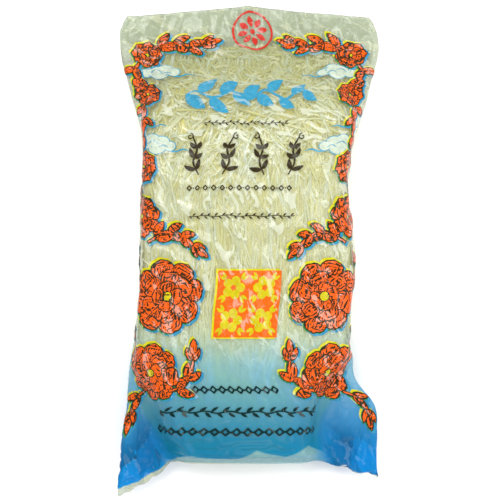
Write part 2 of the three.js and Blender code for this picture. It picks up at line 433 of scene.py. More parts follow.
# A node group with a vector and one number in, and one number out.
def newGroup(name, numberName, number, result):
    group = bpy.data.node_groups.new(name, "ShaderNodeTree")
    group.interface.new_socket(name="Vector", in_out="INPUT", socket_type="NodeSocketVector")
    socket = group.interface.new_socket(name=numberName, in_out="INPUT", socket_type="NodeSocketFloat")
    socket.default_value = number
    group.interface.new_socket(name=result, in_out="OUTPUT", socket_type="NodeSocketFloat")
    ins, outs = group.nodes.new("NodeGroupInput"), group.nodes.new("NodeGroupOutput")
    return group, ins.outputs["Vector"], ins.outputs[numberName], outs.inputs[result]


crinkle = dict(size=150.0, detail=2.0, distortion=1.2, finer=2.7, fineShare=0.09, distance=0.0008)


# Small creases of a thin film: the folded edges between noise cells, at two sizes.
def makeCrinkleGroup():
    group, vector, size, height = newGroup("filmCrinkle", "Size", crinkle["size"], "Height")
    coarse = noise(group, vector, size, Detail=crinkle["detail"], Distortion=crinkle["distortion"])
    ridge = maths(group, "ABSOLUTE", maths(group, "SUBTRACT", coarse, 0.5))
    finer = maths(group, "MULTIPLY", size, crinkle["finer"])
    cells = node(group, "TexVoronoi", {"feature": "F1"}, Vector=vector, Scale=finer, Randomness=1.0)
    small = maths(group, "MULTIPLY", cells.outputs["Distance"], crinkle["fineShare"])
    group.links.new(maths(group, "ADD", ridge, small), height)
    return group


frostAndGlareLook = dict(
    scale=215.0, detail=2.5, roughness=0.55, distortion=0.7, clearBelow=0.565, fullAbove=0.610,
    bodyLean=0.42, bodyLength=2.2,      # of the smears: angle from upright, and length to width
    # at the head the smears are painted highlights on the film's creases
    headLean=1.15, headLength=2.6,
    headFrom=0.030, headTo=0.060,       # heights on the bag, in metres
    # thin streaks of painted highlight along the creases
    streakScale=70.0, streakDetail=2.0, streakDistortion=2.5, streakWidth=0.010, streakShare=0.5,
)


# How frosted the film looks, with painted highlights: slanted smears where it clings to the strands, which
# at the head stand for highlights on its creases, and thin streaks of painted highlight along its creases.
def makeFrostAndGlareGroup():
    group, vector, amount, frostAndGlare = newGroup("filmFrostAndPaintedGlare", "Amount", 0.4, "FrostAndGlare")
    height = node(group, "SeparateXYZ", i0=vector).outputs["Y"]
    atHead = mapRange(group, height, frostAndGlareLook["headFrom"], frostAndGlareLook["headTo"], smooth=True)
    onBody = maths(group, "SUBTRACT", 1.0, atHead)
    smears = []
    for part, share in (("body", onBody), ("head", atHead)):
        slanted = node(group, "Mapping", {"vector_type": "TEXTURE"}, Vector=vector,
                       Rotation=(0, 0, frostAndGlareLook[part + "Lean"]),
                       Scale=(1.0, frostAndGlareLook[part + "Length"], 1.0))
        smear = noise(group, slanted.outputs[0], frostAndGlareLook["scale"], Detail=frostAndGlareLook["detail"],
                      Roughness=frostAndGlareLook["roughness"], Distortion=frostAndGlareLook["distortion"])
        soft = mapRange(group, smear, frostAndGlareLook["clearBelow"], frostAndGlareLook["fullAbove"], smooth=True)
        smears.append(maths(group, "MULTIPLY", soft, share))
    lines = noise(group, vector, frostAndGlareLook["streakScale"], Detail=frostAndGlareLook["streakDetail"],
                  Distortion=frostAndGlareLook["streakDistortion"])
    thin = maths(group, "ABSOLUTE", maths(group, "SUBTRACT", lines, 0.5))
    thin = mapRange(group, thin, frostAndGlareLook["streakWidth"], 0.0, toHigh=frostAndGlareLook["streakShare"])
    both = maths(group, "MAXIMUM", maths(group, "MAXIMUM", *smears), thin)
    group.links.new(maths(group, "MULTIPLY", both, amount, clamp=True), frostAndGlare)
    return group


crinkleGroup = makeCrinkleGroup()
frostAndGlareGroup = makeFrostAndGlareGroup()


# The film's frost with its painted highlights, and its crinkled normal, at an amount and a strength of
# their own.
def frostAndGlareAt(tree, place, amount):
    return node(tree, "Group", {"node_tree": frostAndGlareGroup}, Vector=place, Amount=amount).outputs[0]


def crinkleAt(tree, place, strength):
    creases = node(tree, "Group", {"node_tree": crinkleGroup}, Vector=place, Size=crinkle["size"])
    bump = node(tree, "Bump", Strength=strength, Distance=crinkle["distance"], Height=creases.outputs[0])
    return bump.outputs[0]


# Places are in decimetres along the film from the bottom seal, and across it from its middle.
filmLook = dict(
    clearTint=(0.845, 0.862, 0.815, 1), looseTint=(0.705, 0.740, 0.690, 1), blueTint=(0.10, 0.60, 0.88, 1),
    hazeColour=(0.76, 0.77, 0.52, 1), paleBlue=(0.29, 0.575, 0.73, 1), blueColour=(0.003, 0.24, 0.49, 1),
    # the frost colour is also the colour of the painted highlights on the film's creases
    earColour=(0.001, 0.20, 0.46, 1), frostAndGlareColour=(0.64, 0.68, 0.61, 1), paleBlueAt=0.36,
    haze=0.13, blueHaze=0.74, hazePower=0.6,        # how much the film hides what lies behind it
    through=0.4, milkRoughness=0.35,                # share of that which lets light through
    # the frost is partly painted highlight, and in the ears it is only painted highlight on the creases
    frostAndGlare=0.70, frostAndGlareLostInBlue=-2.4, paintedGlareInEars=0.15, frostAndGlareLostLoose=-0.6,
    crinkle=0.5, crinkleLostInBlue=-0.3,
    ior=1.27, roughness=0.22, gloss=0.010, glossLimit=0.4, glossLostInBlue=-0.6,
    bandStart=1.07, bandFull=0.26, bandWobble=0.12, wobbleScale=3.0,
    sealStrip=0.075, stripEdge=0.004, stripSlant=0.058,
    looseFrom=1.95, looseTo=2.36,                   # where the film stands off the bundle, at the top
    earsInside=0.42, earsOutside=0.54, earsFrom=0.42, earsFull=0.24,
    facetScale=140.0, facetTurn=0.6, facetLength=0.42, facetPaintedShade=0.38, facetPaintedLight=1.45,
)
# Pale wedges along the end of the bundle, where the blue print is taken out: unprinted film folded over,
# with painted highlights of the folds there.
wedges = dict(
    waves=dict(Scale=1.15, Distortion=2.6, Detail=1.0, Detail_Scale=1.8, Phase_Offset=2.3), depth=-0.06,
    side=0.25, leftLower=0.022, rightHigher=-0.032, edge=(0.150, 0.138), ends=(0.46, 0.36), paler=-0.62,
)


# How pale each place is, as painted highlights of the folds: below a wavy line that lies lower on the left,
# and fading out sideways.
def wedgesOf(t, uv, across, away, height):
    kind = {"wave_type": "BANDS", "bands_direction": "X", "wave_profile": "TRI"}
    folds = node(t, "TexWave", kind, Vector=uv, **wedges["waves"]).outputs["Fac"]
    lower = maths(t, "MULTIPLY_ADD", folds, wedges["depth"], height)
    beside = mapRange(t, across, -wedges["side"], wedges["side"], wedges["leftLower"],
                      wedges["rightHigher"], smooth=True)
    edge = mapRange(t, maths(t, "ADD", lower, beside), *wedges["edge"])
    return maths(t, "MULTIPLY", edge, mapRange(t, away, *wedges["ends"]))


# Clear film: mostly see-through and slightly tinted, with frosty patches where it clings to the strands and
# painted highlights on its creases, a blue printed band that fades out up the bag, and a gloss layer over
# all of it.
def filmMaterial():
    look = filmLook
    material, t = newMaterial("printedFilm")
    uv = node(t, "UVMap", {"uv_map": "filmPlace"}).outputs[0]
    place = objectPlace(t)
    parts = node(t, "SeparateXYZ", i0=uv)
    across, height = parts.outputs["X"], parts.outputs["Y"]
    away = maths(t, "ABSOLUTE", across)
    wobble = noise(t, uv, look["wobbleScale"], Detail=3.0)
    shifted = maths(t, "MULTIPLY_ADD", wobble, look["bandWobble"], height)
    band = mapRange(t, shifted, look["bandStart"], look["bandFull"], smooth=True)
    slanting = maths(t, "MULTIPLY_ADD", across, look["stripSlant"], height)
    strip = mapRange(t, slanting, look["sealStrip"], look["sealStrip"] + look["stripEdge"])
    # pale wedges that take out the blue: painted highlights of the folds at the bundle's end
    pale = wedgesOf(t, uv, across, away, height)
    kept = maths(t, "MULTIPLY_ADD", pale, wedges["paler"], 1.0)
    blue = maths(t, "MULTIPLY", maths(t, "MULTIPLY", band, strip), kept)
    top = mapRange(t, height, look["looseFrom"], look["looseTo"], smooth=True)
    loose = maths(t, "MAXIMUM", top, maths(t, "SUBTRACT", 1.0, strip))
    tint = blend(t, blue, blend(t, loose, look["clearTint"], look["looseTint"]), look["blueTint"])
    ramp = node(t, "ValToRGB", Fac=blue)
    ramp.color_ramp.elements.new(0.5)
    steps = ((0.0, "hazeColour"), (look["paleBlueAt"], "paleBlue"), (1.0, "blueColour"))
    for element, (at, colour) in zip(ramp.color_ramp.elements, steps):
        element.position = at
        element.color = look[colour]
    # in the ears, flat facets are printed darker and lighter: painted light and shade of the crumpled film,
    # partly darker where layers fold over one another
    turned = node(t, "Mapping", Vector=place, Rotation=(0, 0, look["facetTurn"]),
                  Scale=(1.0, look["facetLength"], 1.0))
    facets = node(t, "TexVoronoi", {"feature": "F1"}, Vector=turned.outputs[0], Scale=look["facetScale"],
                  Randomness=1.0)
    layer = node(t, "SeparateColor", i0=facets.outputs["Color"])
    # painted light and shade of each facet
    depth = mapRange(t, layer.outputs[0], 0.0, 1.0, look["facetPaintedShade"], look["facetPaintedLight"])
    inEar = maths(t, "MULTIPLY", mapRange(t, away, look["earsInside"], look["earsOutside"]), blue)
    lowEnough = mapRange(t, height, look["earsFrom"], look["earsFull"], smooth=True)
    inEar = maths(t, "MULTIPLY", inEar, lowEnough)
    deeper = blend(t, inEar, ramp.outputs[0], look["earColour"])
    paintedFacetLightAndShade = blend(t, inEar, deeper, depth, "MULTIPLY")
    # the frost and its painted highlights are lost in the blue, come back faintly in the ears as painted
    # highlights on the creases, and are thinner where the film is loose
    less = maths(t, "MULTIPLY_ADD", blue, look["frostAndGlareLostInBlue"], 1.0, clamp=True)
    less = maths(t, "MAXIMUM", less, maths(t, "MULTIPLY", inEar, look["paintedGlareInEars"]))
    calm = maths(t, "MULTIPLY_ADD", loose, look["frostAndGlareLostLoose"], 1.0)
    # frost with painted highlights over the film
    frostAndGlareShare = maths(t, "MULTIPLY", maths(t, "MULTIPLY", frostAndGlareAt(t, place, look["frostAndGlare"]), less), calm)
    milk = maths(t, "POWER", blue, look["hazePower"])
    haze = mapRange(t, milk, 0.0, 1.0, look["haze"], look["blueHaze"])
    cover = maths(t, "ADD", haze, frostAndGlareShare, clamp=True)
    veilTint = blend(t, frostAndGlareShare, paintedFacetLightAndShade, look["frostAndGlareColour"])
    normal = crinkleAt(t, place, maths(t, "MULTIPLY_ADD", blue, look["crinkleLostInBlue"], look["crinkle"]))
    clear = node(t, "BsdfTransparent", Color=tint)
    milky = node(t, "BsdfPrincipled", Base_Color=veilTint, Roughness=look["milkRoughness"], Normal=normal,
                 Specular_IOR_Level=0.0)
    through = node(t, "BsdfTranslucent", Color=veilTint)
    veil = node(t, "MixShader", i0=look["through"], i1=milky.outputs[0], i2=through.outputs[0])
    body = node(t, "MixShader", i0=cover, i1=clear.outputs[0], i2=veil.outputs[0])
    shine = node(t, "BsdfAnisotropic", Color=(1, 1, 1, 1), Roughness=look["roughness"], Normal=normal)
    edge = node(t, "Fresnel", IOR=look["ior"], Normal=normal)
    amount = maths(t, "ADD", edge.outputs[0], look["gloss"], clamp=True)
    amount = maths(t, "MULTIPLY", amount, maths(t, "MULTIPLY_ADD", blue, look["glossLostInBlue"], 1.0))
    amount = maths(t, "MINIMUM", amount, look["glossLimit"])
    whole = node(t, "MixShader", i0=amount, i1=body.outputs[0], i2=shine.outputs[0])
    node(t, "OutputMaterial", Surface=whole.outputs[0])
    return material


strandLook = dict(
    light=(0.81, 0.865, 0.86, 1), dark=(0.755, 0.73, 0.41, 1),
    coreLight=(0.87, 0.81, 0.39, 1), coreDark=(0.82, 0.74, 0.28, 1), coreTone=0.2,
    streakScale=420.0, streakLength=0.12, streakShare=0.22, cloudScale=38.0, cloudShare=0.7,
    headFrom=0.015, headTo=0.068, headShade=-0.6,   # heights on the bag, in metres
    darkAt=0.45, lightAt=1.45, roughness=0.42, specular=0.3, through=0.3,
    subsurface=0.5, subsurfaceRadius=(1.6, 1.6, 1.0), subsurfaceScale=0.001,
    # a faint yellow glow of the strands: painted light, in place of light passing through them
    paintedGlow=(1.0, 0.92, 0.12, 1), paintedGlowStrength=0.075,
)


# Each strand lies between pale and straw yellow by its own tone, with streaks along it and soft clouds over
# it, and the bundle grows darker and yellower towards its head, a painted shade. A faint yellow glow over
# the strands is painted light, in place of light passing through them.
def noodleMaterial(name, light, dark):
    look = strandLook
    material, t = newMaterial(name)
    place = objectPlace(t)
    tone = node(t, "Attribute", {"attribute_name": "strandTone"}).outputs["Fac"]
    stretched = node(t, "Mapping", Vector=place, Scale=(1.0, look["streakLength"], 1.0))
    streaks = noise(t, stretched.outputs[0], look["streakScale"], Detail=2.0)
    clouds = noise(t, place, look["cloudScale"], Detail=3.0)
    mixed = maths(t, "MULTIPLY_ADD", streaks, look["streakShare"], tone)
    mixed = maths(t, "MULTIPLY_ADD", clouds, look["cloudShare"], mixed)
    height = node(t, "SeparateXYZ", i0=place).outputs["Y"]
    # painted shade: the strands grow darker and yellower towards the head
    shade = mapRange(t, height, look["headFrom"], look["headTo"], 0.0, look["headShade"], smooth=True)
    share = mapRange(t, maths(t, "ADD", mixed, shade), look["darkAt"], look["lightAt"])
    colour = blend(t, share, dark, light)
    shader = node(t, "BsdfPrincipled", Base_Color=colour, Roughness=look["roughness"],
                  Specular_IOR_Level=look["specular"], Subsurface_Weight=look["subsurface"],
                  Subsurface_Radius=look["subsurfaceRadius"], Subsurface_Scale=look["subsurfaceScale"],
                  # the emission is painted light that lifts the shade between strands
                  Emission_Color=look["paintedGlow"], Emission_Strength=look["paintedGlowStrength"])
    through = node(t, "BsdfTranslucent", Color=colour)
    glassy = node(t, "MixShader", i0=look["through"], i1=shader.outputs[0], i2=through.outputs[0])
    node(t, "OutputMaterial", Surface=glassy.outputs[0])
    return material


noodle = dict(
    seed=21, thickness=1.5, sides=4,
    inset=2.8,             # of the bundle's own form, beside the flat fins
    rowsBefore=5,          # of the front's start, that count as the bundle's end
    depthShare=0.36, depthLeast=0.9,               # how deep a line may lie, by the room there is
    clearance=1.05,        # between a line and the film
    leastRoom=3.4, mostRoom=80.0,                  # less is too tight, and more is off the film
    bottomEnd=-50, topEnd=60, flatHalf=47.0,       # where the film's own height is looked up
    holdRounds=40, centreHalf=4, alongShare=0.15,  # a point beside the centre moves mostly sideways
    holdReach=2, noCeiling=999.0,
)
roomGrid = dict(shape=(300, 180), middle=(150, 90), empty=99.0)


# Tubes along many lines at once. lines is (strands, steps, 3) with a reference direction at each
# point; the corners of a tube stand round its line at radius times the strand's own thickness.
def tubes(lines, refs, radii):
    strands, steps = lines.shape[:2]
    sides = noodle["sides"]
    along = unit(np.gradient(lines, axis=1))
    side = unit(np.cross(along, refs))
    up = np.cross(side, along)
    angle = np.linspace(0, 2 * np.pi, sides, endpoint=False)
    ring = np.cos(angle)[:, None] * side[:, :, None, :] + np.sin(angle)[:, None] * up[:, :, None, :]
    points = lines[:, :, None, :] + ring * radii[..., None, None]
    index = np.arange(strands * steps * sides).reshape(strands, steps, sides)
    a, b = index[:, :-1], index[:, 1:]
    quads = np.stack([a, b, np.roll(b, -1, 2), np.roll(a, -1, 2)], axis=-1).reshape(-1, 4)
    caps = np.concatenate([index[:, 0], index[:, -1, ::-1]])
    return points.reshape(-1, 3), np.concatenate([quads, caps])


# Gives each point of a piece the tone of its strand.
def setStrandTone(piece, tones):
    layer = piece.data.attributes.new("strandTone", "FLOAT", "POINT")
    layer.data.foreach_set("value", tones.astype(np.float32))


# The cells of the grid of rooms, each a square millimetre, that points lie in.
def cellsOf(spots):
    rowOf, columnOf = roomGrid["middle"]
    return np.round(spots[:, 1]).astype(int) + rowOf, np.round(spots[:, 0]).astype(int) + columnOf


# The room inside the film over each millimetre: the height of its front and of its back, the
# closer of each cell and its eight neighbours.
def roomInFilm():
    half = film["columns"] + 1
    empty = roomGrid["empty"]
    heights = []
    layers = ((filmPoints[:, :half], np.minimum, empty), (filmPoints[:, half:], np.maximum, -empty))
    for points, closer, none in layers:
        cells = np.full(roomGrid["shape"], none)
        spots = points.reshape(-1, 3)
        closer.at(cells, cellsOf(spots), spots[:, 2])
        wide = cells.copy()
        for i in (-1, 0, 1):
            for j in (-1, 0, 1):
                wide = closer(wide, np.roll(cells, (i, j), (0, 1)))
        heights.append(wide)
    return heights


# The lowest of each value and its neighbours along a strand, averaged over as many again, so that
# a strand that is held down by the film runs on smoothly.
def smoothCeiling(values):
    reach = noodle["holdReach"]
    for combine in (np.min, np.mean):
        padded = np.pad(values, ((0, 0), (reach, reach)), mode="edge")
        windows = [padded[:, k:k + values.shape[1]] for k in range(2 * reach + 1)]
        values = combine(windows, axis=0)
    return values


# Moves points near the bag's ends in from where the film leaves them no room, towards the middle
# of the bundle, and then these and all points under its flat front between the front and the back.
def insideFilm(points, inside):
    front, back = inside
    clearance = noodle["clearance"]
    flat = points.reshape(-1, 3)
    atEnd = (flat[:, 1] < noodle["bottomEnd"]) | (flat[:, 1] > noodle["topEnd"])
    near = np.flatnonzero(atEnd | (np.abs(flat[:, 0]) < noodle["flatHalf"]))
    spots = flat[near]
    for _ in range(noodle["holdRounds"]):
        cell = cellsOf(spots)
        room = front[cell] - back[cell]
        tight = (room < noodle["leastRoom"]) | (room > noodle["mostRoom"])
        beside = np.abs(spots[:, 0]) > noodle["centreHalf"]
        spots[:, 0] -= np.where(tight & beside, np.sign(spots[:, 0]), 0)
        along = np.where(beside, noodle["alongShare"], 1.0)
        spots[:, 1] -= np.where(tight, np.sign(spots[:, 1]) * along, 0)
    cell = cellsOf(spots)
    ground = back[cell] + clearance
    ceiling = np.full(len(flat), noodle["noCeiling"])
    ceiling[near] = np.maximum(front[cell] - clearance, ground)
    if points.ndim == 3:
        smooth = smoothCeiling(ceiling.reshape(points.shape[:2])).ravel()
        ceiling = np.minimum(ceiling, smooth)
    spots[:, 2] = np.maximum(np.minimum(spots[:, 2], ceiling[near]), ground)
    flat[near] = spots
    return points


# Numbers in pairs are the least and the most, or the middle and the spread.
longStrands = dict(
    count=820, steps=48, sway=(1.5, 5.0), swayTurns=(0.6, 1.8), ripple=(0.4, 1.4), rippleTurns=(5, 9),
    drift=13.0, firstRow=(5, 12), topHeight=110.0, roundedTop=9, topSpread=(-2.5, 4.5), topLimits=(-18, 3),
    hookFrom=0.86, hookLeast=0.1, hookMost=2.4, hookSpread=0.8,
    layerPower=0.8, shallow=1.2, deep=2.5, bob=0.3, bobTurns=(2, 5), bobFrom=0.15,
    headSink=0.9, headFrom=35, headTo=62, thicker=(0.8, 1.15),
    clumpSize=9, tone=0.65, deeperPaintedShade=0.45, clumpTone=0.18,
)
crossStrands = dict(
    count=470, steps=26, headShare=0.52, thicker=(0.85, 1.2), lastHeight=(101, 111), margin=8, edge=3,
    head=dict(middle=(55, 96), run=(40, 95), lean=0.75, turn=1.0, depth=(1.3, 2.0), tone=(0.5, 1.6)),
    body=dict(middle=(-90, 90), run=(50, 140), lean=0.30, turn=0.45, depth=(0.9, 1.7), tone=(0.3, 0.95)),
    bodyLean=0.6,
)
core = dict(firstRow=4, lastHeight=103.0, depth=2.0, headDepth=1.7, headFrom=30, headTo=60,
            roomShare=0.38, roomLeast=0.4, ribs=0.35, ribWidth=2.5, ribsFrom=2, ribsTo=5)


# Lays the long strands, the shorter ones across them and the middle of the bundle.
def makeNoodles():
    rng = np.random.default_rng(noodle["seed"])
    inside = roomInFilm()
    form = filmRings(noodle["inset"])[0] - shift
    normals = ringNormals(form)
    rows, ring = form.shape[:2]
    half = ring // 2
    middleY = form[:, half // 2, 1]
    mirror = (-np.arange(ring)) % ring
    thick = np.abs(form[..., 2] - form[:, mirror, 2])
    material = noodleMaterial("driedStarch", strandLook["light"], strandLook["dark"])
    radius = noodle["thickness"] / 2

    def rowAt(y):
        k = np.argmax(middleY > film["frontStarts"]) - noodle["rowsBefore"]
        return np.interp(y, middleY[k:], np.arange(k, rows))

    # puts lines given in rows and columns of the bundle's form a depth below its surface
    def lay(row, column, depth, radii, name, tones):
        on = readRings(form, row, column)
        n = unit(readRings(normals, row, column))
        room = readRings(thick[..., None], row, column)[..., 0]
        depth = np.minimum(depth, noodle["depthShare"] * room + noodle["depthLeast"])
        lines = insideFilm(on - n * depth[..., None], inside)
        points, faces = tubes(lines, n, radii)
        piece = makePiece(name, points, faces, material)
        setStrandTone(piece, np.repeat(tones, lines.shape[1] * noodle["sides"]))

    # long strands, most of the way from end to end: the column is a slow sine, a quick sine and a
    # drift along the row, and the top of each strand bends over in an arc
    look = longStrands
    count = look["count"]
    s = np.linspace(0, 1, look["steps"])[None, :]
    column = rng.uniform(0, ring, count)

    def between(low, high):
        return rng.uniform(low, high, (count, 1))

    def sine(size, turns):
        return size * np.sin(2 * np.pi * (between(*turns) * s + between(0, 1)))

    across = sine(between(*look["sway"]), look["swayTurns"])
    across += sine(between(*look["ripple"]), look["rippleTurns"])
    across += rng.normal(0, look["drift"], (count, 1)) * (s - 0.5)
    first = between(*look["firstRow"])
    lateral = np.abs(np.interp(column % half, [0, half / 2, half], [1, 0, 1]))[:, None]
    uneven = rng.normal(*look["topSpread"], (count, 1)).clip(*look["topLimits"])
    last = rowAt(look["topHeight"] - look["roundedTop"] * lateral**4 + uneven)
    hookFrom = look["hookFrom"]
    bend = look["hookLeast"] + np.abs(rng.normal(0, look["hookSpread"], (count, 1)))
    bend = bend.clip(look["hookLeast"], look["hookMost"])
    arc = bend * np.clip((s - hookFrom) / (1 - hookFrom), 0, 1)
    arcRadius = (last - first) * (1 - hookFrom) / bend
    hook = rng.choice([-1, 1], (count, 1)) * arcRadius * (1 - np.cos(arc))
    row = first + (last - first) * np.minimum(s, hookFrom) + arcRadius * np.sin(arc)
    layer = rng.uniform(0, 1, (count, 1)) ** look["layerPower"]
    depth = look["shallow"] + (look["deep"] - look["shallow"]) * layer
    depth = depth + sine(look["bob"], look["bobTurns"]) * (layer > look["bobFrom"])
    depth = depth + look["headSink"] * smoothStep(row, rowAt(look["headFrom"]), rowAt(look["headTo"]))
    radii = radius * between(*look["thicker"]) * np.ones_like(s)
    clumps = gridNoise(rng, 2, ring, look["clumpSize"])[0]
    # strands that lie deeper get a darker tone: painted shade
    tones = rng.uniform(0, look["tone"], count) - look["deeperPaintedShade"] * layer[:, 0]
    tones = tones + look["clumpTone"] * clumps[column.astype(int) % ring]
    parts = np.array_split(np.argsort(layer[:, 0]), 3)
    for name, part in zip(("noodles_outer", "noodles_middle", "noodles_inner"), parts):
        place = column[part, None] + (across + hook)[part]
        lay(row[part], place, depth[part], radii[part], name, tones[part])

    # shorter strands that lie across the others, many of them near the top of the bundle: each
    # heads off at an angle that turns evenly along it
    look = crossStrands
    head, body = look["head"], look["body"]
    count = look["count"]
    s = np.linspace(-0.5, 0.5, look["steps"])[None, :]
    nearTop = between(0, 1) < look["headShare"]
    middle = np.where(nearTop, between(*head["middle"]), between(*body["middle"]))
    run = np.where(nearTop, between(*head["run"]), between(*body["run"]))
    bodyLean = look["bodyLean"]
    lean = np.where(nearTop, rng.normal(0, head["lean"], (count, 1)),
                    rng.normal(0, body["lean"], (count, 1)).clip(-bodyLean, bodyLean))
    turn = np.where(nearTop, rng.normal(0, head["turn"], (count, 1)),
                    rng.normal(0, body["turn"], (count, 1)))
    heading = lean + turn * s
    stepLength = run / (look["steps"] - 1)
    row = rowAt(middle) + np.cumsum(np.cos(heading) * stepLength, axis=1)
    row -= row.mean(axis=1, keepdims=True) - rowAt(middle)
    row = np.minimum(row, rowAt(between(*look["lastHeight"])))
    start = between(look["margin"], half - look["margin"])
    column = start + np.cumsum(np.sin(heading) * stepLength, axis=1)
    column = np.clip(column, look["edge"], half - look["edge"])
    depth = np.where(nearTop, between(*head["depth"]), between(*body["depth"])) + 0 * s
    radii = radius * between(*look["thicker"]) * np.ones_like(s)
    tones = np.where(nearTop[:, 0], rng.uniform(*head["tone"], count), rng.uniform(*body["tone"], count))
    lay(row, column, depth, radii, "noodles_across", tones)

    # the middle of the bundle, ribbed like strands
    kept = slice(core["firstRow"], int(rowAt(core["lastHeight"])))
    inner, out = form[kept], normals[kept]
    atHead = smoothStep(inner[..., 1], core["headFrom"], core["headTo"])
    deepest = core["roomShare"] * thick[kept] + core["roomLeast"]
    room = np.minimum(core["depth"] + core["headDepth"] * atHead, deepest)
    ribs = core["ribs"] * np.sin(np.arange(ring) * 2 * np.pi / core["ribWidth"])[None, :, None]
    surface = inner - out * room[..., None]
    surface = surface + out * ribs * smoothStep(room, core["ribsFrom"], core["ribsTo"])[..., None]
    points, _, faces = ringFaces(surface)
    material = noodleMaterial("packedStarch", strandLook["coreLight"], strandLook["coreDark"])
    piece = makePiece("noodle_core", insideFilm(points, inside), faces, material)
    setStrandTone(piece, np.full(len(points), strandLook["coreTone"]))


# The inks lie just above the film's outer face: height over it in millimetres, and colour.
inks = dict(
    black=dict(height=0.41, colour=(0.026, 0.018, 0.007, 1)),
    navy=dict(height=0.41, colour=(0.002, 0.018, 0.019, 1)),
    orange=dict(height=0.40, colour=(0.665, 0.086, 0.004, 1)),
    red=dict(height=0.26, colour=(0.43, 0.024, 0.015, 1)),
    fret=dict(height=0.26, colour=(0.46, 0.385, 0.004, 1)),
    panel=dict(height=0.20, colour=(0.62, 0.098, 0.003, 1)),
    green=dict(height=0.17, colour=(0.022, 0.17, 0.035, 1)),
    blue=dict(height=0.15, colour=(0.024, 0.20, 0.345, 1)),
    yellow=dict(height=0.13, colour=(0.48, 0.44, 0.008, 1)),
    cloud=dict(height=0.10, colour=(0.40, 0.465, 0.37, 1)),
    outline=dict(height=0.07, colour=(0.030, 0.228, 0.36, 1)),
)
printing = dict(
    patch=1.25,            # the largest step of a printed patch, so that it follows the creases
    line=0.56,             # how far black stands out round a shape
    fineLine=0.42,
    tierStep=0.018,        # each lower tier of petals or leaves lies this much lower
    lineTier=0.75,
    # how far the under-colours stand out, and how far they are out of register
    under=dict(yellow=(0.95, (-0.75, 0.70)), blue=(0.95, (0.75, -0.85)), green=(0.7125, (-0.40, -0.45))),
    curvePoints=12, curlPoints=40,
)
patches = {name: [] for name in inks}


# The direction at an angle.
def turned(angle):
    return np.array([np.cos(angle), np.sin(angle)])


# A leaf-shaped patch: its middle line bends evenly, and its half width is
# width / 2 sin(pi s^fat)^blunt, widened by grow sin(pi s)^0.25.
def leafGrid(base, heading, length, width, bend=0.0, fat=0.8, blunt=0.8, grow=0.0):
    n = max(5, int(length / printing["patch"]) + 2)
    m = 2 * max(1, int(np.ceil((width + 2 * grow) / 2 / printing["patch"]))) + 1
    s = np.linspace(0, 1, n)
    turn = heading + bend * (s - 0.3)
    steps = np.stack([np.cos(turn), np.sin(turn)], axis=1) * ((length + 2 * grow) / (n - 1))
    line = np.asarray(base) - grow * turned(turn[0]) + np.cumsum(steps, axis=0) - steps[:1]
    half = width / 2 * np.sin(np.pi * s**fat) ** blunt + grow * np.sin(np.pi * s) ** 0.25
    across = np.stack([-np.sin(turn), np.cos(turn)], axis=1)
    return line[:, None] + across[:, None] * (half[:, None] * np.linspace(1, -1, m))[..., None]


# A round patch: rings of points at (r cos a, squash r sin a).
def roundGrid(centre, radius, squash=1.0, grow=0.0):
    spokes = max(12, int(2 * np.pi * radius / printing["patch"]))
    rings = max(2, int(radius / printing["patch"]) + 2)
    angle = np.linspace(0, 2 * np.pi, spokes + 1)
    r = np.linspace(0, 1, rings)[:, None] * (radius + grow)
    return np.asarray(centre) + np.stack([r * np.cos(angle), r * np.sin(angle) * squash], axis=-1)


# A brush stroke along a line of points, read evenly along its length. Its width falls to
# (1 - taper) of itself at both ends.
def strokeGrid(line, width, taper=0.0, grow=0.0):
    line = np.asarray(line, float)
    run = np.concatenate([[0], np.cumsum(np.linalg.norm(np.diff(line, axis=0), axis=1))])
    s = np.linspace(0, 1, max(3, int(run[-1] / printing["patch"]) + 2))
    line = np.stack([np.interp(s * run[-1], run, line[:, k]) for k in (0, 1)], axis=1)
    along = unit(np.gradient(line, axis=0))
    line[0] -= along[0] * grow
    line[-1] += along[-1] * grow
    half = width / 2 * (1 - taper * np.abs(2 * s - 1) ** 2) + grow
    across = np.stack([-along[:, 1], along[:, 0]], axis=1)
    return line[:, None] + across[:, None] * (half[:, None] * np.array([1, 0, -1]))[..., None]


# A smooth line through a few points, for stems.
def smoothLine(points):
    points = np.asarray(points, float)
    p = np.concatenate([2 * points[:1] - points[1:2], points, 2 * points[-1:] - points[-2:-1]])
    t = np.linspace(0, 1, printing["curvePoints"], endpoint=False)[:, None]
    runs = [throughPoints(*p[k:k + 4], t) for k in range(len(p) - 3)]
    return np.concatenate(runs + [points[-1:]])


# A curl whose radius falls evenly to (1 - tighten) of itself.
def curl(centre, radius, start, turns, tighten):
    s = np.linspace(0, 1, printing["curlPoints"])
    angle = start + 2 * np.pi * turns * s
    r = radius * (1 - tighten * s)
    return np.asarray(centre) + np.stack([r * np.cos(angle), r * np.sin(angle)], axis=1)


# A flat patch between two corners.
def barGrid(x0, y0, x1, y1):
    across = np.linspace(x0, x1, max(2, int(abs(x1 - x0) / printing["patch"]) + 2))
    along = np.linspace(y0, y1, max(2, int(abs(y1 - y0) / printing["patch"]) + 2))
    return np.stack(np.meshgrid(across, along), axis=-1)


# The angle of a direction.
def headingOf(direction):
    return np.arctan2(direction[1], direction[0])


# Keeps a patch for its ink, lower over the film the higher its tier is.
def put(ink, grid, tier=0.0):
    patches[ink].append((grid, inks[ink]["height"] - printing["tierStep"] * tier))


# A shape in orange with a black rim, over yellow, blue and green that are out of register.
def printed(makeGrid, tier, halo=True):
    put("orange", makeGrid(0.0), tier)
    put("black", makeGrid(printing["line"]), tier + printing["lineTier"])
    if halo:
        for under, (grow, shifted) in printing["under"].items():
            put(under, makeGrid(grow) + shifted)


